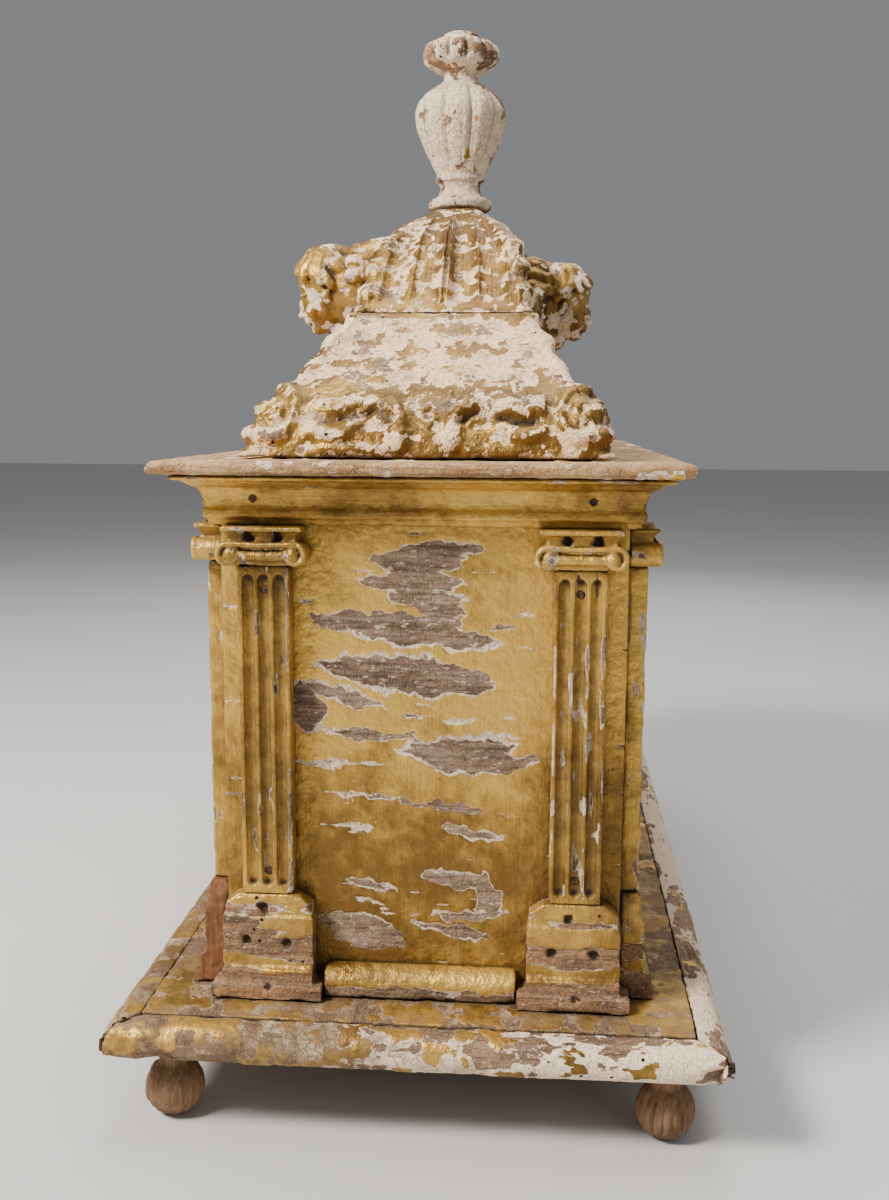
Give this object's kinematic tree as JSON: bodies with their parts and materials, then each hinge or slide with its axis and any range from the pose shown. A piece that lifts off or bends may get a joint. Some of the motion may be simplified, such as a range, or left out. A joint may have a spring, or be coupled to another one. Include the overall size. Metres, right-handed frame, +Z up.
{
  "type": "tabernacle box",
  "caption": "Carved and gilded wooden casket on ball feet with corner pilasters, hinged locking front door, four-sided dome and turned finial.",
  "frame": {"origin": "on the floor under the middle of the footprint", "axes": "+X to the right end wall seen from the front, -Y out of the front wall with the door, +Z up"},
  "size_m": [0.7112, 0.3652, 0.712],
  "materials": {
    "gilt_wood": "worn burnished gold leaf over gesso, satin",
    "bare_wood": "bare aged wood, matt",
    "worn_gesso": "worn white gesso with remains of gilding, matt",
    "painted_base": "dirty worn gilding and gesso over wood, matt",
    "board_wood": "planed board, aged, matt",
    "forged_iron": "hand-forged, rusty"
  },
  "bodies": {
    "cabinet": {"back_panel": "board_wood", "base_board": "painted_base", "base_nosing_back": "painted_base", "base_nosing_front": "painted_base", "base_nosing_left": "painted_base", "base_nosing_right": "painted_base", "capital_back_left": "gilt_wood", "capital_back_right": "gilt_wood", "capital_front_left": "gilt_wood", "capital_front_right": "gilt_wood", "capital_left_back": "gilt_wood", "capital_left_front": "gilt_wood", "capital_right_back": "gilt_wood", "capital_right_front": "gilt_wood", "cherub_back": "gilt_wood", "cherub_front": "gilt_wood", "cornice_board": "bare_wood", "dome_cap": "worn_gesso", "dome_lower": "worn_gesso", "entablature_back": "gilt_wood", "entablature_front": "gilt_wood", "entablature_left": "gilt_wood", "entablature_right": "gilt_wood", "finial": "worn_gesso", "foot_back_left": "bare_wood", "foot_back_right": "bare_wood", "foot_front_left": "bare_wood", "foot_front_right": "bare_wood", "front_panel_left": "gilt_wood", "front_panel_right": "gilt_wood", "front_rail_bottom": "gilt_wood", "front_rail_top": "gilt_wood", "hinge_frame_leaves": "forged_iron", "left_end_panel": "gilt_wood", "nails": "forged_iron", "plinth_back_left": "gilt_wood", "plinth_back_right": "gilt_wood", "plinth_front_left": "gilt_wood", "plinth_front_right": "gilt_wood", "plinth_left_back": "gilt_wood", "plinth_left_front": "gilt_wood", "plinth_right_back": "gilt_wood", "plinth_right_front": "gilt_wood", "right_end_panel": "gilt_wood", "shaft_back_left": "gilt_wood", "shaft_back_right": "gilt_wood", "shaft_front_left": "gilt_wood", "shaft_front_right": "gilt_wood", "shaft_left_back": "gilt_wood", "shaft_left_front": "gilt_wood", "shaft_right_back": "gilt_wood", "shaft_right_front": "gilt_wood", "skirting": "gilt_wood"},
    "door": {"door_panel": "gilt_wood", "door_moulding": "gilt_wood", "hinge_door_leaves": "forged_iron", "escutcheon": "forged_iron", "lock_case": "forged_iron"},
    "lock_bolt": {"lock_bolt": "forged_iron"},
    "key": {"key": "forged_iron"}
  },
  "joints": [
    {"name": "door_hinge", "type": "hinge", "parent": "cabinet", "child": "door", "pos_m": [-0.1095, -0.1232, 0.224], "axis": [0, 0, -1], "range_deg": [0, 120]},
    {"name": "key_turn", "type": "hinge", "parent": "door", "child": "key", "pos_m": [0.095, -0.13, 0.224], "axis": [0, 1, 0], "range_deg": [0, 90]},
    {"name": "bolt_slide", "type": "slide", "parent": "door", "child": "lock_bolt", "axis": [1, 0, 0], "range_m": [0, 0.008]}
  ],
  "couplings": [
    {"joint": "key_turn", "follows": "bolt_slide", "rad_per_m": 196.3}
  ]
}
